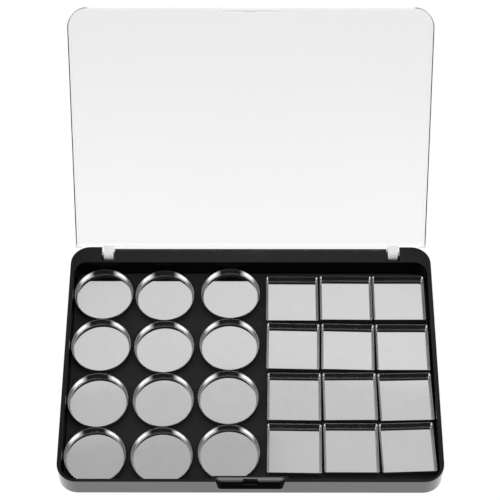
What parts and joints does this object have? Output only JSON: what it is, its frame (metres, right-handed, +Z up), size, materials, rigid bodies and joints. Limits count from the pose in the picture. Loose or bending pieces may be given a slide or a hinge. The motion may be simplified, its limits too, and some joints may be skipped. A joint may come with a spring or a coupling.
{
  "type": "magnetic paint palette",
  "caption": "Shallow black palette tray with a clear hinged lid, a magnetic sheet on its floor, and loose round and square metal pans that lift out.",
  "frame": {"origin": "centre of the tray's flat underside", "axes": "+X to the right, +Y from the latch to the hinge, +Z up out of the tray"},
  "size_m": [0.16, 0.1797, 0.1019],
  "materials": {
    "black_plastic": "glossy injection moulded, black",
    "clear_plastic": "clear, polished moulded polystyrene",
    "magnet_rubber": "matte black flexible magnetic sheet",
    "tinned_steel": "bright tin-plated pressed steel"
  },
  "bodies": {
    "tray": {"base_tray": "black_plastic", "magnet_sheet": "magnet_rubber"},
    "lid": {"clear_lid": "clear_plastic"},
    "round_pan_11": {"round_pan_11": "tinned_steel"},
    "round_pan_12": {"round_pan_12": "tinned_steel"},
    "round_pan_13": {"round_pan_13": "tinned_steel"},
    "round_pan_21": {"round_pan_21": "tinned_steel"},
    "round_pan_22": {"round_pan_22": "tinned_steel"},
    "round_pan_23": {"round_pan_23": "tinned_steel"},
    "round_pan_31": {"round_pan_31": "tinned_steel"},
    "round_pan_32": {"round_pan_32": "tinned_steel"},
    "round_pan_33": {"round_pan_33": "tinned_steel"},
    "round_pan_41": {"round_pan_41": "tinned_steel"},
    "round_pan_42": {"round_pan_42": "tinned_steel"},
    "round_pan_43": {"round_pan_43": "tinned_steel"},
    "square_pan_11": {"square_pan_11": "tinned_steel"},
    "square_pan_12": {"square_pan_12": "tinned_steel"},
    "square_pan_13": {"square_pan_13": "tinned_steel"},
    "square_pan_21": {"square_pan_21": "tinned_steel"},
    "square_pan_22": {"square_pan_22": "tinned_steel"},
    "square_pan_23": {"square_pan_23": "tinned_steel"},
    "square_pan_31": {"square_pan_31": "tinned_steel"},
    "square_pan_32": {"square_pan_32": "tinned_steel"},
    "square_pan_33": {"square_pan_33": "tinned_steel"},
    "square_pan_41": {"square_pan_41": "tinned_steel"},
    "square_pan_42": {"square_pan_42": "tinned_steel"},
    "square_pan_43": {"square_pan_43": "tinned_steel"}
  },
  "joints": [
    {"name": "lid_hinge", "type": "hinge", "parent": "tray", "child": "lid", "pos_m": [0, 0.05485, 0.0088], "axis": [-1, 0, 0], "range_deg": [-124.5, 0]},
    {"name": "lift_round_pan_11", "type": "slide", "parent": "tray", "child": "round_pan_11", "axis": [0, 0, 1], "range_m": [0, 0.015]},
    {"name": "lift_round_pan_12", "type": "slide", "parent": "tray", "child": "round_pan_12", "axis": [0, 0, 1], "range_m": [0, 0.015]},
    {"name": "lift_round_pan_13", "type": "slide", "parent": "tray", "child": "round_pan_13", "axis": [0, 0, 1], "range_m": [0, 0.015]},
    {"name": "lift_round_pan_21", "type": "slide", "parent": "tray", "child": "round_pan_21", "axis": [0, 0, 1], "range_m": [0, 0.015]},
    {"name": "lift_round_pan_22", "type": "slide", "parent": "tray", "child": "round_pan_22", "axis": [0, 0, 1], "range_m": [0, 0.015]},
    {"name": "lift_round_pan_23", "type": "slide", "parent": "tray", "child": "round_pan_23", "axis": [0, 0, 1], "range_m": [0, 0.015]},
    {"name": "lift_round_pan_31", "type": "slide", "parent": "tray", "child": "round_pan_31", "axis": [0, 0, 1], "range_m": [0, 0.015]},
    {"name": "lift_round_pan_32", "type": "slide", "parent": "tray", "child": "round_pan_32", "axis": [0, 0, 1], "range_m": [0, 0.015]},
    {"name": "lift_round_pan_33", "type": "slide", "parent": "tray", "child": "round_pan_33", "axis": [0, 0, 1], "range_m": [0, 0.015]},
    {"name": "lift_round_pan_41", "type": "slide", "parent": "tray", "child": "round_pan_41", "axis": [0, 0, 1], "range_m": [0, 0.015]},
    {"name": "lift_round_pan_42", "type": "slide", "parent": "tray", "child": "round_pan_42", "axis": [0, 0, 1], "range_m": [0, 0.015]},
    {"name": "lift_round_pan_43", "type": "slide", "parent": "tray", "child": "round_pan_43", "axis": [0, 0, 1], "range_m": [0, 0.015]},
    {"name": "lift_square_pan_11", "type": "slide", "parent": "tray", "child": "square_pan_11", "axis": [0, 0, 1], "range_m": [0, 0.015]},
    {"name": "lift_square_pan_12", "type": "slide", "parent": "tray", "child": "square_pan_12", "axis": [0, 0, 1], "range_m": [0, 0.015]},
    {"name": "lift_square_pan_13", "type": "slide", "parent": "tray", "child": "square_pan_13", "axis": [0, 0, 1], "range_m": [0, 0.015]},
    {"name": "lift_square_pan_21", "type": "slide", "parent": "tray", "child": "square_pan_21", "axis": [0, 0, 1], "range_m": [0, 0.015]},
    {"name": "lift_square_pan_22", "type": "slide", "parent": "tray", "child": "square_pan_22", "axis": [0, 0, 1], "range_m": [0, 0.015]},
    {"name": "lift_square_pan_23", "type": "slide", "parent": "tray", "child": "square_pan_23", "axis": [0, 0, 1], "range_m": [0, 0.015]},
    {"name": "lift_square_pan_31", "type": "slide", "parent": "tray", "child": "square_pan_31", "axis": [0, 0, 1], "range_m": [0, 0.015]},
    {"name": "lift_square_pan_32", "type": "slide", "parent": "tray", "child": "square_pan_32", "axis": [0, 0, 1], "range_m": [0, 0.015]},
    {"name": "lift_square_pan_33", "type": "slide", "parent": "tray", "child": "square_pan_33", "axis": [0, 0, 1], "range_m": [0, 0.015]},
    {"name": "lift_square_pan_41", "type": "slide", "parent": "tray", "child": "square_pan_41", "axis": [0, 0, 1], "range_m": [0, 0.015]},
    {"name": "lift_square_pan_42", "type": "slide", "parent": "tray", "child": "square_pan_42", "axis": [0, 0, 1], "range_m": [0, 0.015]},
    {"name": "lift_square_pan_43", "type": "slide", "parent": "tray", "child": "square_pan_43", "axis": [0, 0, 1], "range_m": [0, 0.015]}
  ]
}
